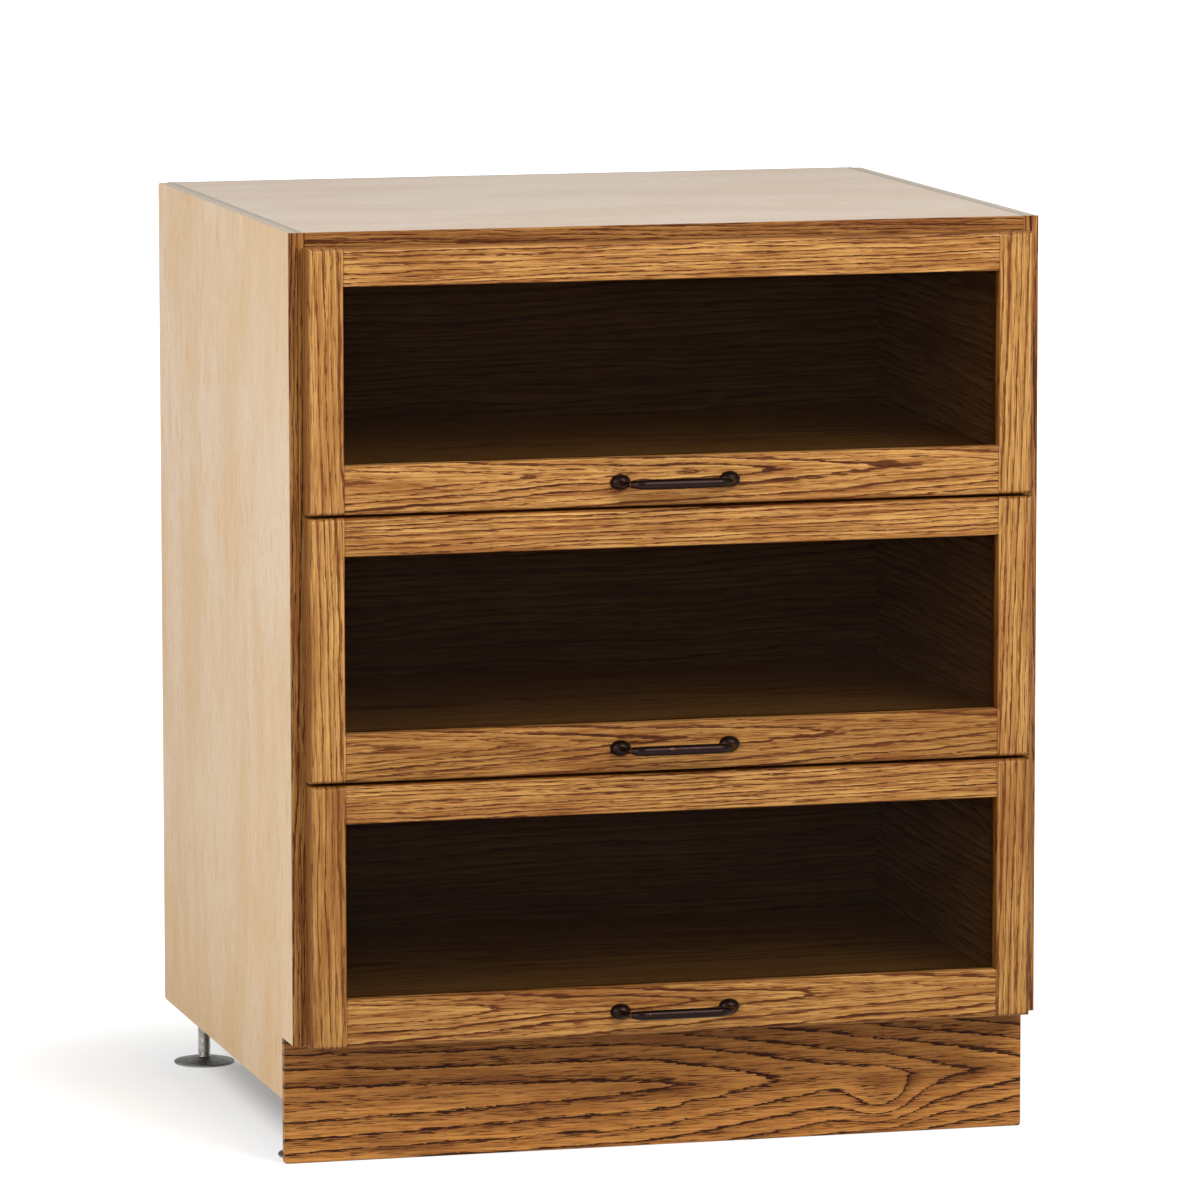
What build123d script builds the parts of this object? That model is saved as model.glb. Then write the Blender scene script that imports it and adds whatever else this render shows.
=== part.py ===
"""Base cabinet with three glass-fronted drawers on side-mounted slides and four screw feet.

X runs from left to right, Y from front to back and Z up from the floor. The origin is on the
floor, in the middle of the whole depth from the handles to the back. Drawer 1 is the top one.
All sizes are in millimetres.
"""
import math
import os

from build123d import *

# Case
case_width = 720.0
case_depth = 590.0
case_top = 876.0
side_bottom = 60.0
end_panel_thickness = 8.5
case_side_thickness = 6.5
top_thickness = 15.0
bottom_thickness = 15.0
back_thickness = 6.0
edge_band_thickness = 3.0
board_edge_ease = 0.6
side_back_corner_radius = 5.0

# Toe space and toe kick
toe_height = 119.0
toe_recess = 40.0
toe_kick_thickness = 8.0
toe_kick_floor_gap = 0.5
toe_kick_corner_radius = 2.5
toe_block_count = 3
toe_block_width = 40.0
toe_block_depth = 34.0
toe_block_height = 60.0
toe_block_pitch = 210.0

# Rails for fixing the case to a wall
wall_rail_thickness = 16.0
wall_rail_height = 80.0
wall_hole_pitch = 406.4
wall_hole_radius = 2.5

# Drawer fronts
drawer_count = 3
side_reveal = 12.0
top_reveal = 13.0
bottom_reveal = 0.5
front_spacing = 3.0
front_gap = 3.0
front_thickness = 22.0
front_edge_radius = 4.0
opening_edge_ease = 0.8
stile_width = 33.5
top_rail_height = 35.5
bottom_rail_height = 45.5

# Glass and the beads that hold it
glass_thickness = 4.0
glass_overlap = 7.0
glass_edge_gap = 1.0
bead_thickness = 6.0
bead_round = 2.0

# Drawer boxes
box_side_thickness = 12.0
box_back_thickness = 12.0
box_bottom_thickness = 6.0
box_lift = 20.0
box_floor_height = 38.0
box_top_overlap = 5.0
box_groove_depth = 5.5
box_groove_gap = 0.3

# Drawer slides: a case rail, a middle member and a drawer member nested in each other
slide_length = 400.0
slide_setback = 3.0
slide_space = 12.7
slide_height = 45.0
slide_steel = 1.2
slide_clearance = 0.3
slide_lift = 75.0
slide_screw_count = 3
slide_screw_inset = 40.0

# Handles
handle_spacing = 105.0
handle_standoff = 26.6
handle_bend_radius = 18.0
handle_neck_radius = 2.7
handle_grip_radius = 4.7
handle_shoulder_radius = 4.6
handle_grip_end_radius = 3.2
handle_grip_end_angle = 45.0
handle_end_sections = 4
handle_end_round = 0.3
rosette_length = 19.8
rosette_height = 15.2
rosette_dome = 8.5

# Screws
wood_screw_radius = 2.0
wood_screw_length = 9.0
pan_head_radius = 3.6
pan_head_height = 1.6
slide_screw_length = 5.5
handle_screw_radius = 2.0
handle_screw_grip = 6.0
handle_head_radius = 4.0
handle_head_height = 3.0
screw_hole_gap = 0.1
head_slot_width = 1.0
head_slot_share = 0.7
head_slot_depth = 0.8

# Screw feet
pad_radius = 30.0
pad_rim_height = 2.0
pad_height = 6.5
pad_hub_radius = 10.0
pad_floor_thickness = 2.0
pad_front_gap = 1.5
pad_back_gap = 2.0
stem_radius = 6.35
stem_end_chamfer = 1.0
stem_clearance = 0.3
stem_top_gap = 1.0
stem_key_size = 6.0
stem_key_depth = 8.0
foot_retract = 10.0
plate_thickness = 3.0
plate_length = 60.0
plate_width = 50.0
plate_side_gap = 1.0
plate_screw_inset = 7.0
boss_radius = 11.0
boss_height = 24.0
boss_side_gap = 7.0

# Places that follow from the sizes above
half_width = case_width / 2
inner_half = half_width - end_panel_thickness - case_side_thickness
handle_projection = handle_standoff + handle_grip_radius
total_depth = case_depth + front_gap + front_thickness + handle_projection
back_y = total_depth / 2
case_front_y = back_y - case_depth
front_back_y = case_front_y - front_gap
front_face_y = front_back_y - front_thickness
board_front_y = case_front_y + edge_band_thickness
back_inner_y = back_y - back_thickness
toe_front_y = case_front_y + toe_recess
toe_back_y = toe_front_y + toe_kick_thickness
top_underside = case_top - top_thickness
bottom_upper = toe_height + bottom_thickness

fronts_bottom = toe_height + bottom_reveal
fronts_height = case_top - top_reveal - fronts_bottom
front_height = (fronts_height - (drawer_count - 1) * front_spacing) / drawer_count
front_half = half_width - side_reveal
opening_half = front_half - stile_width
rabbet_depth = glass_thickness + bead_thickness
glass_front_y = front_back_y - rabbet_depth
bead_front_y = front_back_y - bead_thickness

handle_half = handle_spacing / 2
handle_bend_x = handle_half - handle_bend_radius
handle_bend_y = handle_bend_radius - handle_standoff

box_outer_half = inner_half - slide_space
box_inner_half = box_outer_half - box_side_thickness
slide_front_y = case_front_y + slide_setback
box_back_y = slide_front_y + slide_length
box_back_inner_y = box_back_y - box_back_thickness

stem_bottom = pad_floor_thickness + stem_clearance
stem_top = bottom_upper - foot_retract - stem_top_gap
stem_hole_radius = stem_radius + stem_clearance
plate_bottom = toe_height - plate_thickness
foot_x = inner_half - boss_side_gap - boss_radius
front_foot_y = toe_back_y + pad_front_gap + pad_radius
back_foot_y = back_y - pad_back_gap - pad_radius


def block(x_span, y_span, z_span):
    """A box between the low and high ends given along each axis."""
    spans = (x_span, y_span, z_span)
    sizes = [high - low for low, high in spans]
    middle = [(low + high) / 2 for low, high in spans]
    return Pos(*middle) * Box(*sizes)


def mirrored(shape):
    """The same piece on the other side of the cabinet's middle plane."""
    return mirror(shape, about=Plane.YZ)


def rod(radius, start, direction, length):
    """A round bar that begins at a point and runs in a direction."""
    return extrude(Plane(start, z_dir=direction) * Circle(radius), amount=length)


def screw(seat, direction, shank_radius, shank_length, head_radius, head_height):
    """A pan-head screw whose head stands on the seat and whose shank runs in the direction."""
    away = -Vector(*direction)
    shank = rod(shank_radius, seat, direction, shank_length)
    head = rod(head_radius, seat, away, head_height)
    head_rim = head.faces().sort_by(Axis(seat, away))[-1].edges()
    head = fillet(head_rim, head_height / 2)
    slot_plane = Plane(Vector(*seat) + away * head_height, z_dir=direction)
    slot_length = 2 * head_radius * head_slot_share
    cross = Rectangle(slot_length, head_slot_width) + Rectangle(head_slot_width, slot_length)
    return shank + head - extrude(slot_plane * cross, amount=head_slot_depth)


def cut_holes(shape, screw_list, radius):
    """Take a round hole out of a piece along each screw's seat, direction and length."""
    for seat, direction, length in screw_list:
        shape -= rod(radius + screw_hole_gap, seat, direction, length + screw_hole_gap)
    return shape


def write(name, *pieces):
    """Write one node, with every solid of its pieces kept apart."""
    solids = [solid for piece in pieces for solid in piece.solids()]
    shape = solids[0] if len(solids) == 1 else Compound(children=solids)
    shape.label = name
    export_step(shape, f"parts/{name}.step")


def board_outline(front, back, corner_radius):
    """The side view of a case side, with the toe notch cut from its lower front corner."""
    corners = [
        (front, toe_height),
        (front, case_top),
        (back, case_top),
        (back, side_bottom),
        (toe_back_y, side_bottom),
        (toe_back_y, toe_height),
    ]
    face = make_face(Polyline(*corners, close=True))
    if corner_radius:
        face = fillet(face.vertices().group_by(Axis.X)[-1], corner_radius)
    return Plane.YZ * face


def drawer_bottom(number):
    """Height of the lower edge of a drawer's front, counted from the top drawer down."""
    return fronts_bottom + (drawer_count - number) * (front_height + front_spacing)


# Case boards


def end_panel():
    """The right-hand outer panel, faced and eased on its outer side."""
    outline = board_outline(board_front_y, back_y, side_back_corner_radius)
    panel = extrude(outline, amount=end_panel_thickness)
    panel = Pos(half_width - end_panel_thickness, 0, 0) * panel
    outer_face = panel.faces().sort_by(Axis.X)[-1]
    return chamfer(outer_face.edges(), board_edge_ease)


def case_side():
    """The right-hand inner side that carries the slides."""
    outline = board_outline(board_front_y, back_inner_y, 0)
    side = Pos(inner_half, 0, 0) * extrude(outline, amount=case_side_thickness)
    for number in range(1, drawer_count + 1):
        side = cut_holes(side, rail_screw_list(number), wood_screw_radius)
    return side


def edge_band(x_span, z_span):
    """A strip of solid wood along the front edge of a board."""
    band = block(x_span, (case_front_y, board_front_y), z_span)
    front = band.faces().sort_by(Axis.Y)[0]
    return chamfer(front.edges(), board_edge_ease)


def front_edge_bands():
    """The strips on both sides, the top and the bottom of the case."""
    side_z = (toe_height, case_top)
    outer = edge_band((half_width - end_panel_thickness, half_width), side_z)
    inner = edge_band((inner_half, half_width - end_panel_thickness), side_z)
    top = edge_band((-inner_half, inner_half), (top_underside, case_top))
    bottom = edge_band((-inner_half, inner_half), (toe_height, bottom_upper))
    return [outer, inner, mirrored(outer), mirrored(inner), top, bottom]


def top_panel():
    return block((-inner_half, inner_half), (board_front_y, back_inner_y), (top_underside, case_top))


def bottom_panel():
    """The case floor, drilled for the stems and the screws of the foot plates."""
    y_span = (board_front_y, back_inner_y)
    panel = block((-inner_half, inner_half), y_span, (toe_height, bottom_upper))
    for x, y in foot_places():
        panel -= rod(stem_hole_radius, (x, y, toe_height), (0, 0, 1), bottom_thickness)
        panel = cut_holes(panel, plate_screw_list(x, y), wood_screw_radius)
    return panel


def wall_holes(height):
    """Two holes at a wall rail's height, through the rail and the back panel."""
    length = wall_rail_thickness + back_thickness
    start_y = back_y - length
    places = [(side * wall_hole_pitch / 2, start_y, height) for side in (-1, 1)]
    return [rod(wall_hole_radius, place, (0, 1, 0), length) for place in places]


lower_rail_middle = bottom_upper + wall_rail_height / 2
upper_rail_middle = top_underside - wall_rail_height / 2


def wall_rail(middle):
    """A rail inside the back of the case that takes the wall screws."""
    y_span = (back_inner_y - wall_rail_thickness, back_inner_y)
    z_span = (middle - wall_rail_height / 2, middle + wall_rail_height / 2)
    return block((-inner_half, inner_half), y_span, z_span) - wall_holes(middle)


def back_panel():
    """The back, let in between the two outer panels."""
    reach = half_width - end_panel_thickness
    panel = block((-reach, reach), (back_inner_y, back_y), (toe_height, case_top))
    return panel - wall_holes(lower_rail_middle) - wall_holes(upper_rail_middle)


def toe_kick_board():
    """The board that closes the toe space, over the full width of the case."""
    board = block((-half_width, half_width), (toe_front_y, toe_back_y), (toe_kick_floor_gap, toe_height))
    lower_corners = board.edges().filter_by(Axis.Y).group_by(Axis.Z)[0]
    board = fillet(lower_corners, toe_kick_corner_radius)
    return chamfer(board.faces().sort_by(Axis.Y)[0].edges(), board_edge_ease)


def toe_kick_blocks():
    """Glue blocks that hold the toe kick under the case floor."""
    y_span = (toe_back_y, toe_back_y + toe_block_depth)
    z_span = (toe_height - toe_block_height, toe_height)
    blocks = []
    for index in range(toe_block_count):
        x = (index - (toe_block_count - 1) / 2) * toe_block_pitch
        x_span = (x - toe_block_width / 2, x + toe_block_width / 2)
        blocks.append(block(x_span, y_span, z_span))
    return blocks


# Screw feet


def foot_places():
    """The four stem centres, left before right and front before back."""
    return [(x, y) for y in (front_foot_y, back_foot_y) for x in (-foot_x, foot_x)]


def plate_span(x):
    """The ends of a foot plate along X, on the side of the cabinet where the foot is."""
    outer = inner_half - plate_side_gap
    ends = (outer - plate_length, outer)
    return ends if x > 0 else (-ends[1], -ends[0])


def plate_screw_list(x, y):
    """Seat, direction and length of the four screws of one foot plate."""
    low, high = plate_span(x)
    columns = (low + plate_screw_inset, high - plate_screw_inset)
    reach = plate_width / 2 - plate_screw_inset
    length = plate_thickness + wood_screw_length
    up = (0, 0, 1)
    return [((column, y + row, plate_bottom), up, length) for column in columns for row in (-reach, reach)]


def foot_plate(x, y):
    """A steel plate under the case floor with a long threaded boss for the stem."""
    y_span = (y - plate_width / 2, y + plate_width / 2)
    plate = block(plate_span(x), y_span, (plate_bottom, toe_height))
    boss_plane = Plane((x, y, plate_bottom), z_dir=(0, 0, -1))
    plate += extrude(boss_plane * RegularPolygon(boss_radius, 6), amount=boss_height)
    boss_end = (x, y, plate_bottom - boss_height)
    plate -= rod(stem_hole_radius, boss_end, (0, 0, 1), boss_height + plate_thickness)
    return cut_holes(plate, plate_screw_list(x, y), wood_screw_radius)


def foot_plate_screws(x, y):
    heads = (wood_screw_radius, plate_thickness + wood_screw_length, pan_head_radius, pan_head_height)
    return [screw(seat, direction, *heads) for seat, direction, _ in plate_screw_list(x, y)]


def foot_pad(x, y):
    """A round steel foot with a socket in which the end of the stem turns."""
    half_section = Polyline(
        (0, 0),
        (pad_radius, 0),
        (pad_radius, pad_rim_height),
        (pad_hub_radius, pad_height),
        (stem_hole_radius, pad_height),
        (stem_hole_radius, pad_floor_thickness),
        (0, pad_floor_thickness),
        close=True,
    )
    pad = revolve(Plane.XZ * make_face(half_section), axis=Axis.Z)
    rim = pad.edges().filter_by(GeomType.CIRCLE).sort_by(SortBy.RADIUS)[-2:]
    return Pos(x, y, 0) * chamfer(rim, pad_rim_height / 4)


def foot_stem(x, y):
    """A threaded stem, at its thread's outer diameter, with a key socket in its upper end."""
    stem = rod(stem_radius, (x, y, stem_bottom), (0, 0, 1), stem_top - stem_bottom)
    ends = stem.edges().filter_by(GeomType.CIRCLE)
    stem = chamfer(ends, stem_end_chamfer)
    key_plane = Plane((x, y, stem_top), z_dir=(0, 0, -1))
    key_corner_radius = stem_key_size / math.sqrt(3)
    return stem - extrude(key_plane * RegularPolygon(key_corner_radius, 6), amount=stem_key_depth)


# Drawer slides, all modelled on the right-hand side


def slide_middle(number):
    """Height of the middle of a drawer's slides."""
    return drawer_bottom(number) + box_lift + slide_lift


def channel(web, flange_end, half_height, middle):
    """A C-shaped steel member from its web's two faces to the free edge of its flanges.

    The distances are taken from the case side towards the drawer.
    """
    web_x = sorted(inner_half - distance for distance in web)
    whole_x = sorted((inner_half - flange_end, *web_x))
    y_span = (slide_front_y, slide_front_y + slide_length)
    z_span = (middle - half_height, middle + half_height)
    solid = block((whole_x[0], whole_x[-1]), y_span, z_span)
    hollow_x = (web_x[1], whole_x[-1]) if flange_end < web[0] else (whole_x[0], web_x[0])
    hollow_z = (z_span[0] + slide_steel, z_span[1] - slide_steel)
    return solid - block(hollow_x, y_span, hollow_z)


flange_end = slide_space - slide_steel - slide_clearance
middle_web = slide_steel + pan_head_height + slide_clearance
middle_half_height = slide_height / 2 - slide_steel - slide_clearance
drawer_half_height = middle_half_height - slide_steel - slide_clearance


def slide_screw_places(number):
    """Y and Z of the screws along one slide member."""
    free_length = slide_length - 2 * slide_screw_inset
    step = free_length / (slide_screw_count - 1)
    first = slide_front_y + slide_screw_inset
    return [(first + index * step, slide_middle(number)) for index in range(slide_screw_count)]


def rail_screw_list(number):
    """Screws that hold a case rail to the case side."""
    seat_x = inner_half - slide_steel
    return [((seat_x, y, z), (1, 0, 0), slide_screw_length) for y, z in slide_screw_places(number)]


def box_screw_list(number):
    """Screws that hold a drawer member to the box side."""
    seat_x = box_outer_half + slide_steel
    return [((seat_x, y, z), (-1, 0, 0), slide_screw_length) for y, z in slide_screw_places(number)]


def slide_screws(screw_list):
    sizes = (wood_screw_radius, slide_screw_length, pan_head_radius, pan_head_height)
    return [screw(seat, direction, *sizes) for seat, direction, _ in screw_list]


def case_rail(number):
    """The slide member fixed to the case."""
    rail = channel((0, slide_steel), flange_end, slide_height / 2, slide_middle(number))
    return cut_holes(rail, rail_screw_list(number), wood_screw_radius)


def middle_member(number):
    """The slide member that runs between the case and the drawer, at half the drawer's travel."""
    web = (middle_web, middle_web + slide_steel)
    return channel(web, flange_end, middle_half_height, slide_middle(number))


def drawer_member(number):
    """The slide member fixed to the drawer box."""
    web = (slide_space - slide_steel, slide_space)
    inner_end = middle_web + slide_steel + slide_clearance
    member = channel(web, inner_end, drawer_half_height, slide_middle(number))
    return cut_holes(member, box_screw_list(number), wood_screw_radius)


# Drawer fronts


def handle_screw_list(number):
    """Seat, direction and length of the screws that hold a handle through the bottom rail."""
    height = drawer_bottom(number) + bottom_rail_height / 2
    seat_y = front_back_y - handle_head_height
    length = seat_y - front_face_y + handle_screw_grip
    places = [(x, seat_y, height) for x in (-handle_half, handle_half)]
    return [(place, (0, -1, 0), length) for place in places]


def front_frame(number):
    """The whole front frame in one piece, before it is parted into stiles and rails."""
    low = drawer_bottom(number)
    high = low + front_height
    opening_z = (low + bottom_rail_height, high - top_rail_height)
    frame = block((-front_half, front_half), (front_face_y, front_back_y), (low, high))
    frame = fillet(frame.faces().sort_by(Axis.Y)[0].edges(), front_edge_radius)
    frame -= block((-opening_half, opening_half), (front_face_y, front_back_y), opening_z)
    opening = frame.faces().sort_by(Axis.Y)[0].inner_wires()[0]
    frame = chamfer(opening.edges(), opening_edge_ease)
    rabbet_x = (-opening_half - glass_overlap, opening_half + glass_overlap)
    rabbet_z = (opening_z[0] - glass_overlap, opening_z[1] + glass_overlap)
    frame -= block(rabbet_x, (glass_front_y, front_back_y), rabbet_z)
    for seat, direction, length in handle_screw_list(number):
        frame -= rod(handle_screw_radius + screw_hole_gap, seat, direction, length)
        head_room = handle_head_height + screw_hole_gap
        back = (seat[0], front_back_y, seat[2])
        frame -= rod(handle_head_radius + screw_hole_gap, back, direction, head_room)
    return frame


def front_members(number):
    """Both stiles, the top rail and the bottom rail of one front."""
    frame = front_frame(number)
    low = drawer_bottom(number)
    high = low + front_height
    y_span = (front_face_y, front_back_y)
    right_stile = frame & block((opening_half, front_half), y_span, (low, high))
    left_stile = frame & block((-front_half, -opening_half), y_span, (low, high))
    between = (-opening_half, opening_half)
    top_rail = frame & block(between, y_span, (high - top_rail_height, high))
    bottom_rail = frame & block(between, y_span, (low, low + bottom_rail_height))
    return [left_stile, right_stile], top_rail, bottom_rail


def glass_pane(number):
    """The pane, resting against the inside of the frame's front lip."""
    low = drawer_bottom(number)
    reach = glass_overlap - glass_edge_gap
    z_span = (low + bottom_rail_height - reach, low + front_height - top_rail_height + reach)
    return block((-opening_half - reach, opening_half + reach), (glass_front_y, bead_front_y), z_span)


def glass_beads(number):
    """Four wooden strips that hold the pane from behind."""
    low = drawer_bottom(number) + bottom_rail_height
    high = drawer_bottom(number) + front_height - top_rail_height
    y_span = (bead_front_y, front_back_y)
    upright_z = (low - glass_overlap, high + glass_overlap)
    upright = block((opening_half, opening_half + glass_overlap), y_span, upright_z)
    inner_edge = upright.edges().filter_by(Axis.Z).group_by(Axis.X)[0].sort_by(Axis.Y)[-1]
    upright = fillet(inner_edge, bead_round)
    across = (-opening_half, opening_half)
    top = block(across, y_span, (high, high + glass_overlap))
    top = fillet(top.edges().filter_by(Axis.X).group_by(Axis.Z)[0].sort_by(Axis.Y)[-1], bead_round)
    bottom = block(across, y_span, (low - glass_overlap, low))
    bottom = fillet(bottom.edges().filter_by(Axis.X).group_by(Axis.Z)[-1].sort_by(Axis.Y)[-1], bead_round)
    return [upright, mirrored(upright), top, bottom]


# Drawer boxes


def box_heights(number):
    """Lower edge, floor and upper edge of a drawer box."""
    low = drawer_bottom(number)
    top = low + front_height - top_rail_height + box_top_overlap
    return low + box_lift, low + box_floor_height, top


def box_side(number):
    """The right-hand side of a drawer box, grooved for the bottom."""
    low, floor, top = box_heights(number)
    y_span = (front_back_y, box_back_y)
    side = block((box_inner_half, box_outer_half), y_span, (low, top))
    groove_x = (box_inner_half, box_inner_half + box_groove_depth + box_groove_gap)
    side -= block(groove_x, y_span, (floor - box_bottom_thickness, floor))
    return cut_holes(side, box_screw_list(number), wood_screw_radius)


def box_bottom(number):
    """The bottom, held in the grooves of both sides and running under the back."""
    _, floor, _ = box_heights(number)
    reach = box_inner_half + box_groove_depth
    return block((-reach, reach), (front_back_y, box_back_y), (floor - box_bottom_thickness, floor))


def box_back(number):
    _, floor, top = box_heights(number)
    return block((-box_inner_half, box_inner_half), (box_back_inner_y, box_back_y), (floor, top))


# Handles


def rosette(x):
    """An oval domed foot of a handle, standing on the plane Y = 0."""
    dome = scale(Sphere(1), by=(rosette_length / 2, rosette_dome, rosette_height / 2))
    x_span = (-rosette_length, rosette_length)
    z_span = (-rosette_height, rosette_height)
    in_front = block(x_span, (-2 * rosette_dome, 0), z_span)
    return Pos(x, 0, 0) * (dome & in_front)


def handle_neck():
    """The right-hand neck, from the rosette round the bend into the end of the grip."""
    neck_angle = (handle_grip_end_angle + 90) / 2
    straight = Line((handle_half, 0), (handle_half, handle_bend_y))
    bend = CenterArc((handle_bend_x, handle_bend_y), handle_bend_radius, 0, -neck_angle)
    section = Plane((handle_half, 0, 0), z_dir=(0, -1, 0)) * Circle(handle_neck_radius)
    return sweep(section, path=straight + bend)


def grip_end():
    """The right-hand end of the grip, which narrows round the bend to a blunt face."""
    sections = []
    for index in range(handle_end_sections):
        share = index / (handle_end_sections - 1)
        angle = math.radians(handle_grip_end_angle + share * (90 - handle_grip_end_angle))
        swell = (handle_shoulder_radius - handle_grip_end_radius) * math.sin(share * math.pi / 2)
        x = handle_bend_x + handle_bend_radius * math.cos(angle)
        y = handle_bend_y - handle_bend_radius * math.sin(angle)
        direction = (-math.sin(angle), -math.cos(angle), 0)
        section_plane = Plane((x, y, 0), x_dir=(0, 0, 1), z_dir=direction)
        sections.append(section_plane * Circle(handle_grip_end_radius + swell))
    end = loft(sections)
    blunt_face = end.faces().sort_by(Axis.Y)[-1]
    return fillet(blunt_face.edges(), handle_end_round)


def grip_middle():
    """The straight part of the grip between its two bent ends, a little thicker in the middle."""
    left = (-handle_bend_x, handle_shoulder_radius)
    right = (handle_bend_x, handle_shoulder_radius)
    ends = Polyline(left, (-handle_bend_x, 0), (handle_bend_x, 0), right)
    barrel = ThreePointArc(left, (0, handle_grip_radius), right)
    return Pos(0, -handle_standoff, 0) * revolve(make_face([ends, barrel]), axis=Axis.X)


def handle(number):
    """A cast bow handle on the bottom rail, tapped from behind for its two screws."""
    neck = handle_neck()
    end = grip_end()
    bow = grip_middle() + end + mirrored(end) + neck + mirrored(neck)
    bow = bow + rosette(handle_half) + rosette(-handle_half)
    height = drawer_bottom(number) + bottom_rail_height / 2
    bow = Pos(0, front_face_y, height) * bow
    return cut_holes(bow, handle_screw_list(number), handle_screw_radius)


def drawer_screws(number):
    """The handle's screws and those of both drawer slide members."""
    handle_pair = [
        screw(seat, direction, handle_screw_radius, length, handle_head_radius, handle_head_height)
        for seat, direction, length in handle_screw_list(number)
    ]
    right = slide_screws(box_screw_list(number))
    return handle_pair + right + [mirrored(one) for one in right]


def write_case():
    """Write the nodes that stay with the case."""
    side = case_side()
    panel = end_panel()
    numbers = range(1, drawer_count + 1)
    rails = [case_rail(number) for number in numbers]
    rail_screws = [one for number in numbers for one in slide_screws(rail_screw_list(number))]
    write("left_end_panel", mirrored(panel))
    write("right_end_panel", panel)
    write("left_case_side", mirrored(side))
    write("right_case_side", side)
    write("front_edge_bands", *front_edge_bands())
    write("top_panel", top_panel())
    write("bottom_panel", bottom_panel())
    write("back_panel", back_panel())
    write("upper_wall_rail", wall_rail(upper_rail_middle))
    write("lower_wall_rail", wall_rail(lower_rail_middle))
    write("toe_kick_board", toe_kick_board())
    write("toe_kick_blocks", *toe_kick_blocks())
    write("case_slide_rails", *rails, *[mirrored(rail) for rail in rails])
    write("rail_screws", *rail_screws, *[mirrored(one) for one in rail_screws])


def write_feet():
    """Write the foot plates with the case, and a pad and a stem for each foot."""
    names = ("front_left", "front_right", "back_left", "back_right")
    places = foot_places()
    write("foot_plates", *[foot_plate(x, y) for x, y in places])
    write("foot_plate_screws", *[one for x, y in places for one in foot_plate_screws(x, y)])
    for name, (x, y) in zip(names, places):
        write(f"{name}_foot_pad", foot_pad(x, y))
        write(f"{name}_foot_stem", foot_stem(x, y))


def write_drawer(number):
    """Write one drawer and the middle members of its two slides."""
    prefix = f"drawer_{number}"
    stiles, top_rail, bottom_rail = front_members(number)
    side = box_side(number)
    member = drawer_member(number)
    middle = middle_member(number)
    write(f"{prefix}_stiles", *stiles)
    write(f"{prefix}_top_rail", top_rail)
    write(f"{prefix}_bottom_rail", bottom_rail)
    write(f"{prefix}_glass_pane", glass_pane(number))
    write(f"{prefix}_glass_beads", *glass_beads(number))
    write(f"{prefix}_box_sides", side, mirrored(side))
    write(f"{prefix}_box_back", box_back(number))
    write(f"{prefix}_box_bottom", box_bottom(number))
    write(f"{prefix}_handle", handle(number))
    write(f"{prefix}_screws", *drawer_screws(number))
    write(f"{prefix}_drawer_slides", member, mirrored(member))
    write(f"{prefix}_middle_slides", middle, mirrored(middle))


os.makedirs("parts", exist_ok=True)
write_case()
write_feet()
for drawer_number in range(1, drawer_count + 1):
    write_drawer(drawer_number)
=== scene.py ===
import math

import bmesh
import bpy
from mathutils import Matrix, Vector


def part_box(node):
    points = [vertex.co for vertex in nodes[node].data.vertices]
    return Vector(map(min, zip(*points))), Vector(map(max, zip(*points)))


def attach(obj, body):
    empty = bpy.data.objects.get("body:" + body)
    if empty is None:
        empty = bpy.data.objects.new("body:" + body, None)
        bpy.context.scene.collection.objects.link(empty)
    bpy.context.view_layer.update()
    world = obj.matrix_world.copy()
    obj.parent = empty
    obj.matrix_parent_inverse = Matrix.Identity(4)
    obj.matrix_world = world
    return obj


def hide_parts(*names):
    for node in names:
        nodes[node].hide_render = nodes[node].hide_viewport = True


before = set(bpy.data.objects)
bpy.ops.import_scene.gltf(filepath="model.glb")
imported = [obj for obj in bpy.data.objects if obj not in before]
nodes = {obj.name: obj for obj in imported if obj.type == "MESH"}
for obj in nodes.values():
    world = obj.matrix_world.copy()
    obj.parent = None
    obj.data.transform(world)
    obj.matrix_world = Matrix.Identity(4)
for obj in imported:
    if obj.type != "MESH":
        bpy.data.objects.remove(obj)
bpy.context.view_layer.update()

drawer_numbers = (1, 2, 3)
foot_names = ("front_left", "front_right", "back_left", "back_right")
mm_per_metre = 1000.0

# Camera: the lens and the sensor in millimetres, the rest in metres and degrees
camera_lens = 245.366
camera_sensor = 36.0
camera_place = Vector((-1.9780, -7.5600, 1.5353))
camera_yaw = 14.694
camera_pitch = 7.616
camera_roll = -0.051
camera_far = 200.0

# Light, in metres and watts
world_strength = 0.42
world_seen_strength = 1.0
world_colour = (1.0, 1.0, 1.0, 1.0)
key_power = 106.0
key_size = 2.0
key_place = Vector((1.25, -2.9, 2.8))
fill_power = 70.0
fill_size = 2.4
fill_place = Vector((-3.2, -1.9, 1.9))
light_target = Vector((0.0, 0.0, 0.45))
floor_half_size = 60.0
floor_colour = (0.66, 0.66, 0.66, 1.0)

# Glow of the floor, from its dark core under the cabinet outwards, in metres. The glow is lower near the
# cabinet, and lower behind it than in front, which paints a shadow round the cabinet
core_middle = (0.0, 0.04, 0.0)
core_half = (0.30, 0.22, 0.0)
core_glow = 0.18
core_width = 0.045
edge_front_y = -0.32
edge_back_y = 0.30
edge_front_glow = 0.58
edge_back_glow = 0.46
far_width = 0.60
far_glow = 0.60

# Screw thread of the feet, in metres and degrees
thread_pitch = 0.0254 / 13
thread_depth = 0.00085
thread_crest_share = 0.15
thread_rings_per_turn = 8
thread_sides = 32
thread_sharp_angle = 40.0
stem_chamfer = 0.0010
stem_key_width = 0.006
stem_key_depth = 0.008

# Colour curve of a screen: a straight start, then a power
screen_white = 255
curve_start = 0.04045
curve_slope = 12.92
curve_offset = 0.055
curve_power = 2.4

# Sockets of a mix node for each kind of value: the two values and the result
mix_sockets = {"FLOAT": (2, 3, 0), "VECTOR": (4, 5, 1), "RGBA": (6, 7, 2)}


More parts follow.
